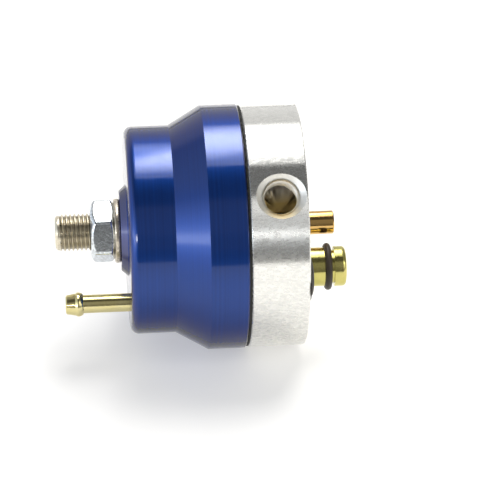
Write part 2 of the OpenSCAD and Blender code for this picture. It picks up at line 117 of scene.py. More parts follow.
class RegulatorSizes(bpy.types.PropertyGroup):
    """Sizes of the details that the CAD solids draw plain"""

    boss_height: length("Boss height", "Height of the boss under the washer", 1.6)
    stud_pitch: length("Stud pitch", "Pitch of the adjuster's 24-per-inch thread", 1.058)
    stud_depth: length("Stud thread depth", "Depth of the adjuster's thread", 0.62)
    stud_chamfer: length("Stud chamfer", "Chamfer at the adjuster's ends", 0.9)
    stud_point: length("Stud point", "Length of the plain point before the adjuster's thread", 1.1)
    stud_step: length("Stud step", "Step from the thread's crests down to the plain point", 0.35)
    socket_flats: length("Socket flats", "Size across the flats of the adjuster's hex socket", 4.76)
    socket_depth: length("Socket depth", "Depth of the adjuster's hex socket", 5)
    port_pitch: length("Port pitch", "Pitch of the gauge port's 27-per-inch thread", 0.941)
    port_depth: length("Port thread depth", "Height of the gauge port's thread ridges", 0.3)
    port_radius: length("Port radius", "Radius of the gauge port's bore", 4.4)
    sink_radius: length("Countersink radius", "Radius of the gauge port's countersink", 6.25)
    port_reach: length("Port reach", "Depth of the gauge port with its drill point", 10.2)
    port_bottom: length("Port bottom", "Depth of the gauge port's straight wall", 7.3)
    port_thread_from: length("Port thread start", "Depth in the gauge port where its thread starts", 1.3)
    port_thread_to: length("Port thread end", "Depth in the gauge port where its thread ends", 6.9)
    stain_from: length("Stain start", "Depth on the gauge port's axis where the stain starts", 3.5)
    stain_to: length("Stain end", "Depth on the gauge port's axis where it is full", 7.5)
    passage_offset: length("Passage offset", "Distance of the port's fuel passage below its axis", 3.2)
    passage_radius: length("Passage radius", "Radius of the port's fuel passage", 1)
    port_from_face: length("Port place", "Distance of the port's axis from the mounting face", 6.6)
    nut_flats: length("Nut flats", "Size across the flats of the lock nut", 14.29)
    nut_face: length("Nut face", "Diameter of the lock nut's outer face", 13)
    nut_back: length("Nut back", "Diameter of the lock nut's face on the washer", 13.86)
    nut_edge: length("Nut edge", "Reach of the rounding of the lock nut's edges", 0.7)
    washer_round: length("Washer edge", "Radius of the sealing washer's rounded edge", 0.5)
    spring_wire: length("Spring wire", "Wire diameter of the main spring", 2.8)
    drill_angle: angle("Drill angle", "Half the angle of the drill point in the gauge port", 59)
    port_angle: angle("Port angle", "Clock angle of the gauge port", 42.7)
    nut_angle: angle("Nut angle", "Clock angle of one of the lock nut's flats", 14.7)
    spring_turns: bpy.props.FloatProperty(
        name="Spring turns", description="Turns of the main spring", min=3, max=8, default=4.5)


class RegulatorFinish(bpy.types.PropertyGroup):
    """Colours of the finishes"""

    blue: colour("Blue", "Dye of the anodised bonnet", "#113982")
    # The boss under the washer is coloured a paler greyish blue than the rest of the bonnet
    boss_pale: colour("Worn blue", "Anodising rubbed pale on the boss under the washer", "#4d5179")
    aluminium: colour("Aluminium", "Turned aluminium of the body", "#eeede8")
    stain: colour("Stain", "Sealant stain deep in the gauge port", "#e2c983")
    zinc_gold: colour("Zinc gold", "Yellow passivated zinc of the spigot", "#d6c880")
    zinc_green: colour("Zinc green", "Greenish tint of the passivation film", "#b0ad5e")
    zinc_pale: colour("Zinc pale", "Thin passivation film on the barb", "#e2d8ac")
    copper: colour("Copper", "Drawn tube of the return line", "#deb570")
    stud: colour("Stud", "Warm nickel of the adjuster", "#dfd6c0")
    # Painted shade: the dark colour laid into the roots of the adjuster's thread
    roots: colour("Thread roots", "Old grease in the roots of the adjuster's thread", "#4d4020")
    nut: colour("Nut", "Bright zinc of the lock nut", "#dde2e5")
    washer: colour("Washer", "Plated ring of the sealing washer", "#d2c8b6")
    rubber: colour("Rubber", "Fuel-proof rubber of the seals", "#33291c")
    diaphragm: colour("Diaphragm", "Coated fabric of the diaphragm", "#14140d")
    black: colour("Black", "Black oxide of the clamp screws", "#1f1811")
    brass: colour("Brass", "Brass of the valve seat", "#cfae62")
    steel: colour("Steel", "Plain steel of the inner pieces", "#bfc1c4")
    spring: colour("Spring", "Oil-tempered wire of the springs", "#74777b")


class RegulatorStudio(bpy.types.PropertyGroup):
    """Camera, light and floor"""

    azimuth: angle("Azimuth", "Direction of the camera round the regulator", -4.7)
    elevation: angle("Elevation", "Height of the camera above the horizon", 30)
    distance: length("Distance", "Distance from the camera to its target", 700)
    lens: bpy.props.FloatProperty(
        name="Lens", description="Focal length in millimetres on a 36 mm sensor", default=206.25)
    key_level: brightness("Key level", "Middle of the softbox above and behind", 16.0)
    key_veil: brightness("Key veil", "Wide cloth round the softbox's middle", 3.5)
    window_level: brightness("Window level", "Small window on the left", 24.0)
    wall_level: brightness("Wall level", "Room at the brightest of its lit walls", 6.0)
    wall_tint: colour("Wall tint", "Cool daylight on the lit walls", "#eaf3ff")
    floor_light: brightness("Floor light", "Sun that lights the floor and casts the shadow", 2.0)
    floor_glow: brightness("Floor glow", "Light that the lit floor sheet gives by itself", 0.38)
    floor_white: colour("Floor", "White sheet under the regulator", "#dddbd7")


def add(tree, kind, sockets=None, stops=None, **settings):
    """Adds a shader node: a socket takes a value, a node or its output, and a ramp takes grey stops."""
    made = tree.nodes.new("ShaderNode" + kind)
    for field, value in settings.items():
        setattr(made, field, value)
    for name, value in (sockets or {}).items():
        if isinstance(value, bpy.types.Node):
            value = value.outputs[0]
        if isinstance(value, bpy.types.NodeSocket):
            tree.links.new(value, made.inputs[name])
        else:
            made.inputs[name].default_value = value
    if stops:
        points = made.color_ramp.elements
        while len(points) < len(stops):
            points.new(0.5)
        for point, (place, grey) in zip(points, stops):
            point.position = place
            point.color = (grey, grey, grey, 1)
    return made


def begin(name):
    """An empty material and its node tree."""
    material = bpy.data.materials.new(name)
    material.use_nodes = True
    material.node_tree.nodes.clear()
    return material, material.node_tree


def shade(tone, share):
    """A colour made darker or lighter, as a shader socket takes it."""
    return (*(min(1.0, part * share) for part in tone), 1)


def across_rings(tree):
    """Place across the rings of a turning tool, in metres: along the axis plus out from it."""
    place = add(tree, "TexCoord").outputs["Object"]
    along = add(tree, "SeparateXYZ", {0: place})
    flat = add(tree, "VectorMath", {0: place, 1: (0, 1, 1)}, operation="MULTIPLY")
    out = add(tree, "VectorMath", {0: flat}, operation="LENGTH")
    return add(tree, "Math", {0: along, 1: out.outputs["Value"]}, operation="ADD")


def blue_anodised_turned(tone, boss_pale, boss):
    """Aluminium turned, dyed and sealed: deep satin blue under a glossy film, coloured a paler greyish blue
    on the boss.
    """
    material, tree = begin("blue_anodised_turned_aluminium")
    # Tool marks are about 0.1 mm apart and drawn at 0.6 mm, because finer ones don't show
    rings = add(tree, "TexNoise", {"W": across_rings(tree), "Scale": 1 / (0.6 * MM), "Detail": 2.0},
                noise_dimensions="1D")
    dye = add(tree, "Mix", {0: rings, 6: shade(tone, 0.8), 7: shade(tone, 1.2)}, data_type="RGBA")
    place = add(tree, "TexCoord").outputs["Object"]
    along = add(tree, "SeparateXYZ", {0: place})
    # Below the given place on X, on the boss, the blue gives way to the paler greyish blue
    coloured = add(tree, "Math", {0: along, 1: boss}, operation="LESS_THAN")
    dye = add(tree, "Mix", {0: coloured, 6: dye.outputs[2], 7: shade(boss_pale, 1)}, data_type="RGBA")
    satin = add(tree, "MapRange", {"Value": rings, "To Min": 0.36, "To Max": 0.48})
    film = add(tree, "TexNoise", {"Vector": place, "Scale": 1 / (3 * MM), "Detail": 4.0})
    gloss = add(tree, "MapRange", {
        "Value": film, "From Min": 0.3, "From Max": 0.7, "To Min": 0.08, "To Max": 0.14})
    marks = add(tree, "Bump", {"Height": rings, "Distance": 0.004 * MM})
    surface = add(tree, "BsdfPrincipled", {
        "Metallic": 1.0, "Base Color": dye.outputs[2], "Roughness": satin, "Normal": marks,
        "Specular Tint": (0.1, 0.06, 0.02, 1), "Coat Weight": 1.0, "Coat Roughness": gloss, "Coat IOR": 1.43})
    add(tree, "OutputMaterial", {"Surface": surface})
    return material


def bright_turned_aluminium(tone):
    """Bare aluminium turned bright: light in bands, smeared along its axis and dulled by handling."""
    material, tree = begin("bright_turned_aluminium")
    # Tool marks are about 0.1 mm apart and drawn at 0.7 mm, because finer ones don't show
    rings = add(tree, "TexNoise", {"W": across_rings(tree), "Scale": 1 / (0.7 * MM), "Detail": 2.0},
                noise_dimensions="1D")
    # Handling left short dashes along the axis, about 0.4 mm across and drawn at 0.6 mm to show
    dashes = add(tree, "Mapping", {"Vector": add(tree, "TexCoord").outputs["Object"],
                                   "Scale": (1 / (1.5 * MM), 1 / (0.6 * MM), 1 / (0.6 * MM))})
    handling = add(tree, "TexNoise", {"Vector": dashes, "Scale": 1.0, "Detail": 3.0, "Roughness": 0.6})
    dull = add(tree, "MapRange", {"Value": handling, "From Min": 0.36, "From Max": 0.64})
    metal = add(tree, "Mix", {0: dull, 6: shade(tone, 0.91), 7: shade(tone, 1)}, data_type="RGBA")
    gloss = add(tree, "MapRange", {"Value": dull, "To Min": 0.32, "To Max": 0.23})
    dents = add(tree, "Bump", {"Height": handling, "Distance": 0.005 * MM})
    marks = add(tree, "Bump", {"Height": rings, "Distance": 0.006 * MM, "Normal": dents})
    surface = add(tree, "BsdfPrincipled", {
        "Metallic": 1.0, "Base Color": metal.outputs[2], "Roughness": gloss, "Normal": marks,
        "Anisotropic": 1.0, "Anisotropic Rotation": 0.25,
        "Tangent": add(tree, "Tangent", direction_type="RADIAL", axis="X")})
    add(tree, "OutputMaterial", {"Surface": surface})
    return material


def drilled_aluminium(tone, stain, axis, unmarked, stained):
    """Bare aluminium drilled and tapped: bright at the mouth, browned by sealant towards the bottom."""
    material, tree = begin("drilled_and_tapped_aluminium")
    place = add(tree, "TexCoord").outputs["Object"]
    out = add(tree, "VectorMath", {0: place, 1: axis}, operation="DOT_PRODUCT")
    depth = add(tree, "MapRange", {"Value": out.outputs["Value"], "From Min": unmarked, "From Max": stained})
    metal = add(tree, "Mix", {0: depth, 6: shade(tone, 1), 7: shade(stain, 1)}, data_type="RGBA")
    scuffs = add(tree, "TexNoise", {"Vector": place, "Scale": 1 / (0.6 * MM), "Detail": 4.0})
    gloss = add(tree, "MapRange", {"Value": depth, "To Min": 0.42, "To Max": 0.62})
    bare = add(tree, "MapRange", {"Value": depth, "To Min": 1.0, "To Max": 0.35})
    dents = add(tree, "Bump", {"Height": scuffs, "Distance": 0.004 * MM})
    surface = add(tree, "BsdfPrincipled", {
        "Metallic": bare, "Base Color": metal.outputs[2], "Roughness": gloss, "Normal": dents})
    add(tree, "OutputMaterial", {"Surface": surface})
    return material


def passivated_zinc(name, gold, green):
    """Steel plated with zinc and dipped in yellow passivate: pale gold film that turns green in places."""
    material, tree = begin(name)
    place = add(tree, "TexCoord").outputs["Object"]
    film = add(tree, "TexNoise", {"Vector": place, "Scale": 1 / (4 * MM), "Detail": 2.0})
    grain = add(tree, "TexNoise", {"Vector": place, "Scale": 1 / (0.7 * MM), "Detail": 4.0})
    plate = add(tree, "Mix", {0: film, 6: shade(gold, 1), 7: shade(green, 1)}, data_type="RGBA")
    gloss = add(tree, "MapRange", {"Value": grain, "To Min": 0.1, "To Max": 0.26})
    dents = add(tree, "Bump", {"Height": grain, "Distance": 0.01 * MM})
    surface = add(tree, "BsdfPrincipled", {
        "Metallic": 1.0, "Base Color": plate.outputs[2], "Roughness": gloss, "Normal": dents})
    add(tree, "OutputMaterial", {"Surface": surface})
    return material


def drawn_copper(tone):
    """Copper alloy tube drawn through a die: fine lines along its length and a warm shine."""
    material, tree = begin("drawn_copper_tube")
    # Die lines run along X, so the pattern is stretched along it
    along = add(tree, "Mapping", {
        "Vector": add(tree, "TexCoord").outputs["Object"],
        "Scale": (1 / (16 * MM), 1 / (0.6 * MM), 1 / (0.6 * MM))})
    streaks = add(tree, "TexNoise", {"Vector": along, "Scale": 1.0, "Detail": 3.0})
    metal = add(tree, "Mix", {0: streaks, 6: shade(tone, 0.7), 7: shade(tone, 1.1)}, data_type="RGBA")
    gloss = add(tree, "MapRange", {"Value": streaks, "To Min": 0.07, "To Max": 0.18})
    dents = add(tree, "Bump", {"Height": streaks, "Distance": 0.01 * MM})
    surface = add(tree, "BsdfPrincipled", {
        "Metallic": 1.0, "Base Color": metal.outputs[2], "Roughness": gloss, "Normal": dents})
    add(tree, "OutputMaterial", {"Surface": surface})
    return material


def plated_steel(name, tone, spot_mm, lump_mm, gloss_from, gloss_to):
    """Formed steel under bright plate: glossy, a little uneven, with duller spots where it was handled."""
    material, tree = begin(name)
    place = add(tree, "TexCoord").outputs["Object"]
    grime = add(tree, "TexNoise", {
        "Vector": place, "Scale": 1 / (spot_mm * MM), "Detail": 4.0, "Roughness": 0.7})
    spots = add(tree, "MapRange", {"Value": grime, "From Min": 0.4, "From Max": 0.6})
    plate = add(tree, "Mix", {0: spots, 6: shade(tone, 0.68), 7: shade(tone, 1.2)}, data_type="RGBA")
    gloss = add(tree, "MapRange", {"Value": spots, "To Min": gloss_to, "To Max": gloss_from})
    dents = add(tree, "Bump", {"Height": grime, "Distance": lump_mm * MM})
    surface = add(tree, "BsdfPrincipled", {
        "Metallic": 1.0, "Base Color": plate.outputs[2], "Roughness": gloss, "Normal": dents})
    add(tree, "OutputMaterial", {"Surface": surface})
    return material


def nickel_plated_thread(tone, roots, core, crest, point):
    """Rolled thread under nickel: warm bright crests over roots darkened with painted shade, and a plain
    point without it.
    """
    material, tree = begin("nickel_plated_rolled_thread")
    place = add(tree, "TexCoord").outputs["Object"]
    flat = add(tree, "VectorMath", {0: place, 1: (0, 1, 1)}, operation="MULTIPLY")
    out = add(tree, "VectorMath", {0: flat}, operation="LENGTH")
    height = add(tree, "MapRange", {"Value": out.outputs["Value"], "From Min": core, "From Max": crest})
    along = add(tree, "SeparateXYZ", {0: place})
    unmarked = add(tree, "Math", {0: along, 1: point}, operation="LESS_THAN")
    bright = add(tree, "Math", {0: height, 1: unmarked}, operation="MAXIMUM")
    # Painted shade: below the crests the thread fades to the dark root colour, while the plain point keeps
    # the plate's colour
    plate = add(tree, "Mix", {0: bright, 6: shade(roots, 1), 7: shade(tone, 1)}, data_type="RGBA")
    grime = add(tree, "TexNoise", {"Vector": place, "Scale": 1 / (1.6 * MM), "Detail": 3.0})
    gloss = add(tree, "MapRange", {"Value": grime, "To Min": 0.22, "To Max": 0.36})
    surface = add(tree, "BsdfPrincipled", {
        "Metallic": 1.0, "Base Color": plate.outputs[2], "Roughness": gloss})
    add(tree, "OutputMaterial", {"Surface": surface})
    return material


def moulded_rubber(tone):
    """Fuel-proof rubber from a mould: dark brown and dull with a soft sheen."""
    material, tree = begin("moulded_seal_rubber")
    place = add(tree, "TexCoord").outputs["Object"]
    dust = add(tree, "TexNoise", {"Vector": place, "Scale": 1 / (0.8 * MM), "Detail": 4.0})
    skin = add(tree, "Mix", {0: dust, 6: shade(tone, 0.7), 7: shade(tone, 1.3)}, data_type="RGBA")
    sheen = add(tree, "MapRange", {"Value": dust, "To Min": 0.34, "To Max": 0.62})
    grain = add(tree, "Bump", {"Height": dust, "Distance": 0.01 * MM})
    surface = add(tree, "BsdfPrincipled", {
        "Base Color": skin.outputs[2], "Roughness": sheen, "Normal": grain})
    add(tree, "OutputMaterial", {"Surface": surface})
    return material


def coated_fabric(tone):
    """Woven fabric coated with rubber and die cut: a dark edge with a faint thread count."""
    material, tree = begin("rubber_coated_diaphragm_fabric")
    # Threads are about 0.3 mm apart, which is as fine as the picture can show
    weave = add(tree, "TexVoronoi", {
        "Vector": add(tree, "TexCoord").outputs["Object"], "Scale": 1 / (0.3 * MM)})
    skin = add(tree, "Mix", {0: weave, 6: shade(tone, 0.7), 7: shade(tone, 1.4)}, data_type="RGBA")
    sheen = add(tree, "MapRange", {"Value": weave, "To Min": 0.45, "To Max": 0.75})
    threads = add(tree, "Bump", {"Height": weave, "Distance": 0.03 * MM})
    surface = add(tree, "BsdfPrincipled", {
        "Base Color": skin.outputs[2], "Roughness": sheen, "Normal": threads})
    add(tree, "OutputMaterial", {"Surface": surface})
    return material


def black_oxide(tone):
    """Hardened steel blackened in a hot bath: near black with a faint oily shine."""
    material, tree = begin("black_oxide_steel")
    place = add(tree, "TexCoord").outputs["Object"]
    stain = add(tree, "TexNoise", {"Vector": place, "Scale": 1 / (1 * MM), "Detail": 4.0})
    oxide = add(tree, "Mix", {0: stain, 6: shade(tone, 0.7), 7: shade(tone, 1.45)}, data_type="RGBA")
    shine = add(tree, "MapRange", {"Value": stain, "To Min": 0.4, "To Max": 0.64})
    grain = add(tree, "Bump", {"Height": stain, "Distance": 0.01 * MM})
    surface = add(tree, "BsdfPrincipled", {
        "Metallic": 0.3, "Base Color": oxide.outputs[2], "Roughness": shine, "Normal": grain})
    add(tree, "OutputMaterial", {"Surface": surface})
    return material


def turned_metal(name, tone):
    """Plain turned metal of an inner piece: fine rings and a satin shine."""
    material, tree = begin(name)
    # Tool marks are about 0.1 mm apart and drawn at 0.4 mm, because finer ones don't show
    rings = add(tree, "TexNoise", {"W": across_rings(tree), "Scale": 1 / (0.4 * MM), "Detail": 2.0},
                noise_dimensions="1D")
    metal = add(tree, "Mix", {0: rings, 6: shade(tone, 0.8), 7: shade(tone, 1.05)}, data_type="RGBA")
    satin = add(tree, "MapRange", {"Value": rings, "To Min": 0.22, "To Max": 0.42})
    marks = add(tree, "Bump", {"Height": rings, "Distance": 0.006 * MM})
    surface = add(tree, "BsdfPrincipled", {
        "Metallic": 1.0, "Base Color": metal.outputs[2], "Roughness": satin, "Normal": marks})
    add(tree, "OutputMaterial", {"Surface": surface})
    return material


def dress(material, *nodes):
    """Gives CAD nodes their finish."""
    for name in nodes:
        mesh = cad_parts[name].data
        mesh.materials.clear()
        mesh.materials.append(material)


def piece(name, bm, material, body, slot, *nodes):
    """Makes a mesh piece with its finish and the CAD nodes it stands for.

    It rides on a body given by name; with anything else in its place, the mesh is baked where it was built.
    """
    bmesh.ops.recalc_face_normals(bm, faces=bm.faces)
    mesh = bpy.data.meshes.new(name)
    bm.to_mesh(mesh)
    bm.free()
    mesh.shade_smooth()
    mesh.set_sharp_from_angle(angle=math.radians(32))
    mesh.materials.append(material)
    obj = bpy.data.objects.new(name, mesh)
    bpy.context.scene.collection.objects.link(obj)
    if isinstance(body, str):
        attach(obj, body)
    else:
        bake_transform(obj)
    if nodes:
        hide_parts(*nodes)
    return obj


def close_rings(bm, rings):
    """Skins closed sections that follow each other round the X axis."""
    for ring, after in zip(rings, rings[1:] + rings[:1]):
        for k in range(len(ring)):
            n = (k + 1) % len(ring)
            bm.faces.new((ring[k], after[k], after[n], ring[n]))


def section(bm, profile, clock):
    """Lays a profile of (along X, out from X) points at a clock angle."""
    return [bm.verts.new((x, -r * math.cos(clock), r * math.sin(clock))) for x, r in profile]


def lathe(bm, profile, segments=96):
    """Turns a closed profile of (along X, out from X) points about the X axis."""
    close_rings(bm, [section(bm, profile, 2 * math.pi * i / segments) for i in range(segments)])


def thread_rows(start, end, pitch):
    """Rows of a thread as (place at angle 0, height share): flat crest, flanks and rounded root."""
    shape = ((0.0, 1.0), (0.125, 1.0), (0.28, 0.5), (0.42, 0.06), (0.5625, 0.0), (0.705, 0.06), (0.845, 0.5))
    turns = math.ceil((end - start) / pitch) + 1
    rows = [(start + (k + phase) * pitch, share) for k in range(-1, turns) for phase, share in shape]
    return rows, len(shape)


def thread_skin(bm, start, end, pitch, radius_at, segments=72):
    """Helical skin between two places on Z; radius_at(place, height share) gives its radius."""
    rows, per_turn = thread_rows(start, end, pitch)
    grid = []
    for place, share in rows:
        ring = []
        for j in range(segments):
            a = 2 * math.pi * j / segments
            z = min(max(place + pitch * j / segments, start), end)
            r = radius_at(z, share)
            ring.append(bm.verts.new((r * math.cos(a), r * math.sin(a), z)))
        grid.append(ring)
    for i in range(len(rows) - 1):
        for j in range(segments - 1):
            bm.faces.new((grid[i][j], grid[i][j + 1], grid[i + 1][j + 1], grid[i + 1][j]))
        if i + 1 + per_turn < len(rows):
            bm.faces.new((grid[i][-1], grid[i + per_turn][0], grid[i + 1 + per_turn][0], grid[i + 1][-1]))
    bmesh.ops.remove_doubles(bm, verts=bm.verts, dist=1e-6)
    bmesh.ops.dissolve_degenerate(bm, edges=bm.edges, dist=1e-7)


def place_along(bm, origin, axis, up=(1, 0, 0)):
    """Lays a mesh built on Z along an axis from an origin."""
    z = Vector(axis).normalized()
    x = (Vector(up) - z * z.dot(Vector(up)))
    x = x.normalized() if x.length > 1e-6 else z.orthogonal().normalized()
    y = z.cross(x)
    for v in bm.verts:
        v.co = Vector(origin) + x * v.co.x + y * v.co.y + z * v.co.z


def aim(obj, origin, target):
    """Puts a lamp or camera at a place, looking at a target with its top upwards."""
    obj.location = origin
    obj.rotation_mode = "QUATERNION"
    obj.rotation_quaternion = (Vector(target) - Vector(origin)).to_track_quat("-Z", "Y")


class PieceOperator:
    """What the operators share: undo and the settings of the scene"""

    bl_options = {"REGISTER", "UNDO"}

    @property
    def sizes(self):
        """Sizes of the drawn details"""
        return bpy.context.scene.regulator_sizes

    @property
    def finish(self):
        """Colours of the finishes"""
        return bpy.context.scene.regulator_finish


class REGULATOR_OT_bonnet(PieceOperator, bpy.types.Operator):
    """Finish the blue bonnet"""

    bl_idname = "regulator.bonnet"
    bl_label = "Bonnet"

    def execute(self, context):
        f = self.finish
        # The boss stands on the crown's face, as high as the gap up to the washer
        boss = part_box("seal_washer")[1].x + self.sizes.boss_height
        dress(blue_anodised_turned(tuple(f.blue), tuple(f.boss_pale), boss), "bonnet")
        return {"FINISHED"}


class REGULATOR_OT_body(PieceOperator, bpy.types.Operator):
    """Finish the turned body and cut the thread of its gauge port"""

    bl_idname = "regulator.body"
    bl_label = "Body and gauge port"

    def execute(self, context):
        s = self.sizes
        f = self.finish
        dress(bright_turned_aluminium(tuple(f.aluminium)), "body")
        surface = -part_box("body")[0].y
        mouth = Vector((-s.port_from_face, 0, 0))
        axis = Vector((0, -math.cos(s.port_angle), math.sin(s.port_angle)))
        # Sealant has run down to the port's lower side, so the stain deepens that way too
        lower = Vector((0, -math.sin(s.port_angle), -math.cos(s.port_angle)))
        drilled = drilled_aluminium(tuple(f.aluminium), tuple(f.stain), axis - lower,
                                    surface - s.stain_from, surface - s.stain_to)
        self.paint_port(drilled, s, mouth, axis, surface)
        bm = bmesh.new()
        self.tap(bm, s, surface)
        place_along(bm, mouth, axis)
        thread = piece("gauge_port_thread", bm, drilled, "housing", "turned_aluminium")
        thread.data.flip_normals()
        return {"FINISHED"}

    def paint_port(self, drilled, s, mouth, axis, surface):
        """Gives the body's faces that lie inside the countersink's rim the port's own finish."""
        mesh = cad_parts["body"].data
        mesh.materials.append(drilled)
        for face in mesh.polygons:
            reach = [mesh.vertices[i].co - mouth for i in face.vertices]
            depth = [point.dot(axis) for point in reach]
            wide = max((point - axis * out).length for point, out in zip(reach, depth))
            if wide < s.sink_radius and min(depth) > surface - s.port_reach:
                face.material_index = 1

    def tap(self, bm, s, surface):
        """Thread ridges from below the countersink to above the drill point, with that point under them."""
        first = surface - s.port_thread_to
        last = surface - s.port_thread_from

        def wall(z, share):
            fade = min(1.0, (z - first) / s.port_pitch, (last - z) / s.port_pitch)
            return s.port_radius + CLEARANCE - (s.port_depth + CLEARANCE) * share * max(0.0, fade)

        thread_skin(bm, first, last, s.port_pitch, wall)
        self.drill_point(bm, s, first, surface - s.port_bottom)

    def drill_point(self, bm, s, first, bottom, segments=72, steps=24):
        """Smooth cone that the drill left under the thread, open where the fuel passage starts."""
        skin = 2 * CLEARANCE
        inner = s.port_radius - skin
        rows = [(s.port_radius + CLEARANCE, first)]
        for step in range(steps):
            r = inner * (1 - step / steps)
            rows.append((r, bottom + skin - (inner - r) / math.tan(s.drill_angle)))
        grid = []
        for r, z in rows:
            turns = [2 * math.pi * j / segments for j in range(segments)]
            grid.append([bm.verts.new((r * math.cos(a), r * math.sin(a), z)) for a in turns])
        passage = Vector((0, -s.passage_offset))
        for ring, after in zip(grid, grid[1:]):
            for j in range(segments):
                n = (j + 1) % segments
                corners = (ring[j], ring[n], after[n], after[j])
                middle = sum((v.co.xy for v in corners), Vector((0, 0))) / 4
                if (middle - passage).length > s.passage_radius:
                    bm.faces.new(corners)
        bm.faces.new(grid[-1])
        bmesh.ops.remove_doubles(bm, verts=bm.verts, dist=1e-6)


class REGULATOR_OT_adjuster(PieceOperator, bpy.types.Operator):
    """Build the adjuster with its rolled thread and hex socket"""

    bl_idname = "regulator.adjuster"
    bl_label = "Adjuster"

    def execute(self, context):
        s = self.sizes
        low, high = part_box("adjuster_screw")
        start, end, radius = low.x, high.x, high.z
        core = radius - s.stud_depth

        def skin(x, share):
            cone = radius - s.stud_chamfer + min(x - start, end - x)
            rise = min(max((x - start - s.stud_point) / s.stud_step, 0), 1)
            point = radius - s.stud_step
            return min(point + (core + s.stud_depth * share - point) * rise, cone)

        bm = bmesh.new()
        thread_skin(bm, start, end, s.stud_pitch, skin)
        rims = {round(z, 7): [] for z in (start, end)}
        for edge in bm.edges:
            if edge.is_boundary:
                rims[round(edge.verts[0].co.z, 7)].append(edge)
        corner = s.socket_flats / 2 / math.cos(math.pi / 6)
        hexagon = [(corner * math.cos(k * math.pi / 3), corner * math.sin(k * math.pi / 3)) for k in range(6)]
        mouth = [bm.verts.new((x, y, start)) for x, y in hexagon]
        bottom = [bm.verts.new((x, y, start + s.socket_depth)) for x, y in hexagon]
        mouth_edges = [bm.edges.new((mouth[k], mouth[(k + 1) % 6])) for k in range(6)]
        for k in range(6):
            n = (k + 1) % 6
            bm.faces.new((mouth[k], mouth[n], bottom[n], bottom[k]))
        bm.faces.new(bottom)
        bmesh.ops.triangle_fill(bm, edges=rims[round(start, 7)] + mouth_edges, use_beauty=True)
        bmesh.ops.contextual_create(bm, geom=rims[round(end, 7)])
        place_along(bm, (0, 0, 0), (1, 0, 0), up=(0, -1, 0))
        f = self.finish
        # The dark colour in the thread's roots is painted shade
        plate = nickel_plated_thread(
            tuple(f.stud), tuple(f.roots), core - 0.2 * MM, core + 0.5 * s.stud_depth, start + s.stud_point)
        piece("adjuster_thread", bm, plate, "adjuster", "threaded_steel", "adjuster_screw")
        return {"FINISHED"}


class REGULATOR_OT_nut(PieceOperator, bpy.types.Operator):
    """Finish the lock nut and round the sealing washer under it"""

    bl_idname = "regulator.nut"
    bl_label = "Lock nut and washer"

    def execute(self, context):
        f = self.finish
        s = self.sizes
        # Cold-formed nut under bright zinc: pale, cool and slightly lumpy
        zinc = plated_steel("bright_zinc_plated_nut_steel", tuple(f.nut), 0.6, 0.03, 0.1, 0.2)
        low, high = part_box("lock_nut")
        bm = bmesh.new()
        self.forge(bm, s, low.x, high.x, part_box("adjuster_screw")[1].z)
        piece("lock_nut_forged", bm, zinc, "nut", "bright_zinc_steel", "lock_nut")
        # Pressed washer under dull plate: warm and soft, with rounded light on its rim
        plate = plated_steel("plated_pressed_washer_steel", tuple(f.washer), 0.8, 0.008, 0.26, 0.4)
        bm = bmesh.new()
        lathe(bm, self.washer_profile(s.washer_round))
        piece("sealing_washer_ring", bm, plate, "washer", "washer_steel", "seal_washer")
        return {"FINISHED"}

    def washer_profile(self, rim, steps=6):
        """Section of the sealing washer's ring with both outer edges rounded."""
        low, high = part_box("seal_washer")
        # The ring's inner edge meets the outside of its rubber lip
        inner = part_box("washer_rubber")[1].z + CLEARANCE
        shoulder = high.z - rim
        turns = [math.pi / 2 * step / steps for step in range(steps + 1)]
        front = [(low.x + rim - rim * math.cos(a), shoulder + rim * math.sin(a)) for a in turns]
        back = [(high.x - rim + rim * math.sin(a), shoulder + rim * math.cos(a)) for a in turns]
        return [(low.x, inner), *front, *back, (high.x, inner)]

    def forge(self, bm, s, start, end, hole, segments=240):
        """Hex nut with rounded edges between two places on X, round a hole."""

        def soften(a, b):
            """The smaller of two radii, eased where they are nearly the same."""
            near = max(s.nut_edge - abs(a - b), 0) / s.nut_edge
            return min(a, b) - near * near * s.nut_edge / 4

        depth = end - start
        rows = [depth * (1 - math.cos(math.pi * k / 40)) / 2 for k in range(41)]
        rings = []
        for i in range(segments):
            a = 2 * math.pi * i / segments
            turned = [a - s.nut_angle - k * math.pi / 3 for k in range(6)]
            flats = sorted(s.nut_flats / 2 / max(math.cos(side), 0.1) for side in turned)
            hexagon = soften(flats[0], flats[1])
            profile = [(start, hole)]
            for x in rows:
                front = s.nut_face / 2 + x * math.sqrt(3)
                back = s.nut_back / 2 + (depth - x) * math.sqrt(3)
                profile.append((start + x, soften(soften(hexagon, front), back)))
            profile.append((end, hole))
            rings.append(section(bm, profile, a))
        close_rings(bm, rings)


class REGULATOR_OT_fittings(PieceOperator, bpy.types.Operator):
    """Finish the hose barb, the inlet spigot and the return tube"""

    bl_idname = "regulator.fittings"
    bl_label = "Fittings"

    def execute(self, context):
        f = self.finish
        gold = tuple(f.zinc_gold)
        dress(passivated_zinc("yellow_passivated_zinc_steel", gold, tuple(f.zinc_green)), "inlet_spigot")
        dress(passivated_zinc("pale_passivated_zinc_steel", tuple(f.zinc_pale), gold), "vacuum_barb")
        dress(drawn_copper(tuple(f.copper)), "return_tube")
        return {"FINISHED"}


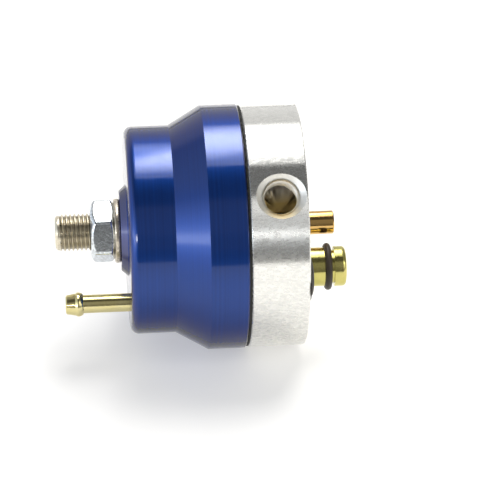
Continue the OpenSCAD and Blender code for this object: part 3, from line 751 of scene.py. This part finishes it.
class REGULATOR_OT_seals(PieceOperator, bpy.types.Operator):
    """Finish the rubber seals and the diaphragm"""

    bl_idname = "regulator.seals"
    bl_label = "Seals and diaphragm"

    def execute(self, context):
        f = self.finish
        rubber = moulded_rubber(tuple(f.rubber))
        dress(rubber, "spigot_o_ring", "spigot_base_seal", "seat_o_ring", "washer_rubber")
        fabric = coated_fabric(tuple(f.diaphragm))
        dress(fabric, "diaphragm")
        self.part_diaphragm(fabric)
        return {"FINISHED"}

    def part_diaphragm(self, fabric):
        """Parts the diaphragm at its roll's crest: the rim rides on the housing, and the centre stays where
        it was built.
        """
        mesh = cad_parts["diaphragm"].data
        crest = min((v.co for v in mesh.vertices), key=lambda place: place.x)
        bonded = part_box("upper_plate")[1].x
        for name, side, body in (
                ("diaphragm_rim", 1, "housing"),
                ("diaphragm_centre", -1, ("valve", "housing", bonded, crest.x))):
            bm = bmesh.new()
            bm.from_mesh(mesh)
            bmesh.ops.remove_doubles(bm, verts=bm.verts, dist=1e-6)
            other = [face for face in bm.faces
                     if min(side * (v.co.yz.length - crest.yz.length) for v in face.verts) < -0.01 * MM]
            bmesh.ops.delete(bm, geom=other, context="FACES")
            piece(name, bm, fabric, body, "diaphragm_rubber", "diaphragm")


class REGULATOR_OT_screws(PieceOperator, bpy.types.Operator):
    """Finish the clamp screws"""

    bl_idname = "regulator.screws"
    bl_label = "Clamp screws"

    def execute(self, context):
        dress(black_oxide(tuple(self.finish.black)), "clamp_screws")
        return {"FINISHED"}


class REGULATOR_OT_inner(PieceOperator, bpy.types.Operator):
    """Finish the valve and wind the main spring smooth"""

    bl_idname = "regulator.inner"
    bl_label = "Inner works"

    def execute(self, context):
        f = self.finish
        s = self.sizes
        steel = turned_metal("turned_inner_steel", tuple(f.steel))
        dress(steel, "spring_cap", "upper_plate", "valve_holder", "stem_nut", "valve_ball", "ball_retainer",
              "valve_disc")
        dress(turned_metal("turned_seat_brass", tuple(f.brass)), "valve_seat")
        # Hardened wire blued in oil: dark grey with a tight shine
        wire = plated_steel("oil_tempered_spring_wire", tuple(f.spring), 0.9, 0.004, 0.24, 0.36)
        dress(wire, "valve_spring")
        low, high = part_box("main_spring")
        closed, steps = 0.75, 40
        middle = high.z - s.spring_wire / 2
        rings = self.wind(low.x, high.x, middle, s.spring_wire, s.spring_turns, closed, steps)
        # Parted where the last closed coil starts, into the long part and that last coil
        cut = len(rings) - 1 - int(closed * steps)
        seam = [x for x, y, z in rings[cut]]
        for name, part, body in (
                ("main_spring_wire", rings[:cut + 1], ("cap", "housing", low.x, min(seam))),
                ("main_spring_foot", rings[cut:], ("housing", "valve", max(seam), high.x))):
            bm = bmesh.new()
            self.tube(bm, part)
            piece(name, bm, wire, body, "spring_steel", "main_spring")
        return {"FINISHED"}

    def wind(self, start, end, radius, wire, turns, closed, steps, sides=14):
        """Rings of points round a wire wound with closed ends between two places on X."""
        rise = end - start - wire
        closed_pitch = wire * 1.04
        open_pitch = (rise - 2 * closed * closed_pitch) / (turns - 2 * closed)
        count = int(turns * steps)
        rings = []
        for i in range(count + 1):
            t = i / steps
            if t < closed:
                lift = t * closed_pitch
            elif t > turns - closed:
                lift = rise - (turns - t) * closed_pitch
            else:
                lift = closed * closed_pitch + (t - closed) * open_pitch
            a = 2 * math.pi * t
            ring = []
            for k in range(sides):
                b = 2 * math.pi * k / sides
                r = radius + wire / 2 * math.cos(b)
                x = start + wire / 2 + lift + wire / 2 * math.sin(b)
                ring.append((x, -r * math.sin(a), -r * math.cos(a)))
            rings.append(ring)
        return rings

    def tube(self, bm, rings):
        """Skins rings of points and closes both ends."""
        grid = [[bm.verts.new(point) for point in ring] for ring in rings]
        for first, second in zip(grid, grid[1:]):
            for k in range(len(first)):
                n = (k + 1) % len(first)
                bm.faces.new((first[k], first[n], second[n], second[k]))
        bm.faces.new(list(reversed(grid[0])))
        bm.faces.new(grid[-1])


class REGULATOR_OT_studio(PieceOperator, bpy.types.Operator):
    """Set up the camera, the soft lights and the white floor"""

    bl_idname = "regulator.studio"
    bl_label = "Studio"

    def execute(self, context):
        scene = context.scene
        scene.view_settings.view_transform = "Standard"
        studio = scene.regulator_studio
        self.camera(scene, studio)
        # The softbox hangs above and a little behind: a hot middle before a wide, weaker veil
        veil_place = Vector((0.002, 0.24, 0.549))
        key_place = veil_place * 0.98 + Vector((0.012, 0, 0))
        key_stops = ((0.0, 0.05), (0.18, 0.5), (0.34, 0.9), (0.5, 1.0), (0.66, 0.9), (0.82, 0.5), (1.0, 0.05))
        self.softbox("key_softbox", studio.key_level, key_place, (0.065, 0.53), key_stops)
        veil_stops = ((0.0, 0.15), (0.22, 1.0), (1.0, 1.0))
        self.softbox("key_veil", studio.key_veil, veil_place, (0.17, 0.6), veil_stops)
        # A small bright window low on the left gives the edges their sparks
        window_place = Vector((-0.27, -0.504, 0.184))
        self.softbox("window", studio.window_level, window_place, (0.06, 0.06), ((0.0, 1.0), (1.0, 1.0)))
        self.lamp(studio)
        self.floor(studio)
        self.room(scene, studio)
        return {"FINISHED"}

    def camera(self, scene, studio):
        """Places the camera and makes it the scene's own."""
        data = bpy.data.cameras.new("camera")
        data.sensor_width = 36
        data.lens = studio.lens
        obj = bpy.data.objects.new("camera", data)
        scene.collection.objects.link(obj)
        # The middle of the picture lies a little below the axis
        target = Vector((-14.99, -0.90, -3.68)) * MM
        level = math.cos(studio.elevation)
        back = Vector((
            math.sin(studio.azimuth) * level, -math.cos(studio.azimuth) * level, math.sin(studio.elevation)))
        aim(obj, target + back * studio.distance, target)
        scene.camera = obj

    def softbox(self, name, level, place, size, stops):
        """A glowing card, graded from its foot to its top by (place, share of its level) stops."""
        wide, high = size[0] / 2, size[1] / 2
        mesh = bpy.data.meshes.new(name)
        mesh.from_pydata([(-wide, -high, 0), (wide, -high, 0), (wide, high, 0), (-wide, high, 0)], [],
                         [(0, 1, 2, 3)])
        obj = bpy.data.objects.new(name, mesh)
        bpy.context.scene.collection.objects.link(obj)
        aim(obj, place, MIDDLE)
        obj.visible_camera = False
        material, tree = begin(name + "_cloth")
        up = add(tree, "SeparateXYZ", {0: add(tree, "TexCoord").outputs["Generated"]})
        grade = add(tree, "ValToRGB", {"Fac": up.outputs["Y"]}, stops=stops)
        strength = add(tree, "Math", {0: grade, 1: level}, operation="MULTIPLY")
        add(tree, "OutputMaterial", {"Surface": add(tree, "Emission", {"Strength": strength})})
        mesh.materials.append(material)

    def lamp(self, studio):
        """Soft sun that lights the whole floor and its shadow, kept out of the metal's reflections."""
        data = bpy.data.lights.new("floor_sun", "SUN")
        data.angle = math.radians(36)
        data.energy = studio.floor_light
        obj = bpy.data.objects.new("floor_sun", data)
        bpy.context.scene.collection.objects.link(obj)
        behind = (0.12, 0.25, 0.6)
        aim(obj, behind, MIDDLE)
        obj.visible_glossy = False

    def floor(self, studio):
        """White sheet that keeps the shadow and is seen as white by the camera and in the metal."""
        half = 1.5
        # The sheet ends before the camera, and the metal shows that edge as a sharp line
        near = 0.32
        z = CAD_BOX[0].z
        mesh = bpy.data.meshes.new("floor")
        corners = [(-half, -near, z), (half, -near, z), (half, half, z), (-half, half, z)]
        mesh.from_pydata(corners, [], [(0, 1, 2, 3)])
        obj = bpy.data.objects.new("floor", mesh)
        bpy.context.scene.collection.objects.link(obj)
        material, tree = begin("white_paper_sheet")
        rays = add(tree, "LightPath").outputs
        seen = add(tree, "Math", {0: rays["Is Camera Ray"], 1: rays["Is Glossy Ray"]}, operation="MAXIMUM")
        seen = add(tree, "Math", {0: seen, 1: rays["Is Transmission Ray"]}, operation="MAXIMUM")
        glow = add(tree, "Math", {0: seen, 1: studio.floor_glow}, operation="MULTIPLY")
        paper = add(tree, "BsdfDiffuse", {"Color": (*studio.floor_white, 1)})
        both = add(tree, "AddShader", {0: paper, 1: add(tree, "Emission", {"Strength": glow})})
        add(tree, "OutputMaterial", {"Surface": both})
        mesh.materials.append(material)

    def room(self, scene, studio):
        """Dim room before the regulator, lit walls at both sides and a pale sweep behind."""
        world = bpy.data.worlds.new("studio_room")
        world.use_nodes = True
        scene.world = world
        tree = world.node_tree
        tree.nodes.clear()
        way = add(tree, "SeparateXYZ", {0: add(tree, "TexCoord").outputs["Generated"]})
        front = add(tree, "Math", {0: way.outputs["Y"], 1: -1.0}, operation="MULTIPLY")
        clock = add(tree, "Math", {0: way.outputs["Z"], 1: front}, operation="ARCTAN2")
        # Share of the half turn from the horizon before the regulator over the top to the one behind
        share = add(tree, "Math", {0: clock, 1: 1 / math.pi}, operation="MULTIPLY")
        middle = add(tree, "ValToRGB", {"Fac": share}, stops=(
            (0.0, 0.024), (0.03, 0.026), (0.05, 0.04), (0.11, 0.04), (0.14, 0.055), (0.29, 0.055),
            (0.32, 0.016), (0.5, 0.014), (0.56, 0.05), (0.76, 0.07), (0.8, 0.13), (1.0, 0.15)))
        left = add(tree, "ValToRGB", {"Fac": share}, stops=(
            (0.0, 0.3), (0.03, 0.45), (0.05, 1.0), (0.09, 1.0), (0.14, 0.45), (0.2, 0.3), (0.3, 0.22),
            (0.4, 0.13), (0.5, 0.14), (1.0, 0.16)))
        right = add(tree, "ValToRGB", {"Fac": share}, stops=(
            (0.0, 0.08), (0.08, 0.08), (0.09, 0.22), (0.2, 0.25), (0.25, 0.5), (0.315, 0.58),
            (0.33, 0.06), (0.5, 0.07), (1.0, 0.075)))
        to_left = add(tree, "MapRange", {"Value": way, "From Min": -0.55, "From Max": -0.75})
        to_right = add(tree, "MapRange", {"Value": way, "From Min": 0.25, "From Max": 0.5})
        level = add(tree, "Mix", {0: to_left, 6: middle.outputs[0], 7: left.outputs[0]}, data_type="RGBA")
        level = add(tree, "Mix", {0: to_right, 6: level.outputs[2], 7: right.outputs[0]}, data_type="RGBA")
        # Straight beside the mounting face the wall is dimmer, so that face isn't washed out
        wall = add(tree, "MapRange", {
            "Value": way, "From Min": 0.7, "From Max": 0.95, "To Min": studio.wall_level,
            "To Max": studio.wall_level * 0.4})
        strength = add(tree, "Math", {0: level.outputs[2], 1: wall}, operation="MULTIPLY")
        rays = add(tree, "LightPath")
        white = add(tree, "Math", {0: rays.outputs["Is Camera Ray"], 1: strength}, operation="MAXIMUM")
        tone = add(tree, "Mix", {0: to_left, 6: (1, 1, 1, 1), 7: (*studio.wall_tint, 1)}, data_type="RGBA")
        sky = add(tree, "Background", {"Color": tone.outputs[2], "Strength": white})
        add(tree, "OutputWorld", {"Surface": sky})


class REGULATOR_PT_panel(bpy.types.Panel):
    """Lists the regulator's pieces, sizes and finishes"""

    bl_idname = "REGULATOR_PT_panel"
    bl_label = "Fuel Pressure Regulator"
    bl_space_type = "VIEW_3D"
    bl_region_type = "UI"
    bl_category = "Regulator"

    def draw(self, context):
        layout = self.layout
        for operator in OPERATORS:
            layout.operator(operator.bl_idname)
        for title, group in (
                ("Sizes", context.scene.regulator_sizes),
                ("Finish", context.scene.regulator_finish),
                ("Studio", context.scene.regulator_studio)):
            box = layout.box()
            box.label(text=title)
            for field in group.__annotations__:
                box.prop(group, field)


GROUPS = (RegulatorSizes, RegulatorFinish, RegulatorStudio)
OPERATORS = (
    REGULATOR_OT_studio,
    REGULATOR_OT_bonnet,
    REGULATOR_OT_body,
    REGULATOR_OT_adjuster,
    REGULATOR_OT_nut,
    REGULATOR_OT_fittings,
    REGULATOR_OT_seals,
    REGULATOR_OT_screws,
    REGULATOR_OT_inner,
)


def register():
    """Registers the classes and hangs the settings on the scene."""
    for group in (*GROUPS, *OPERATORS, REGULATOR_PT_panel):
        bpy.utils.register_class(group)
    bpy.types.Scene.regulator_sizes = bpy.props.PointerProperty(type=RegulatorSizes)
    bpy.types.Scene.regulator_finish = bpy.props.PointerProperty(type=RegulatorFinish)
    bpy.types.Scene.regulator_studio = bpy.props.PointerProperty(type=RegulatorStudio)


def unregister():
    """Takes the settings and the classes away again."""
    del bpy.types.Scene.regulator_studio
    del bpy.types.Scene.regulator_finish
    del bpy.types.Scene.regulator_sizes
    for group in reversed((*GROUPS, *OPERATORS, REGULATOR_PT_panel)):
        bpy.utils.unregister_class(group)


def main():
    """Builds the regulator's looks."""
    register()
    bpy.ops.regulator.studio()
    bpy.ops.regulator.bonnet()
    bpy.ops.regulator.body()
    bpy.ops.regulator.adjuster()
    bpy.ops.regulator.nut()
    bpy.ops.regulator.fittings()
    bpy.ops.regulator.seals()
    bpy.ops.regulator.screws()
    bpy.ops.regulator.inner()


if __name__ == "__main__":
    main()
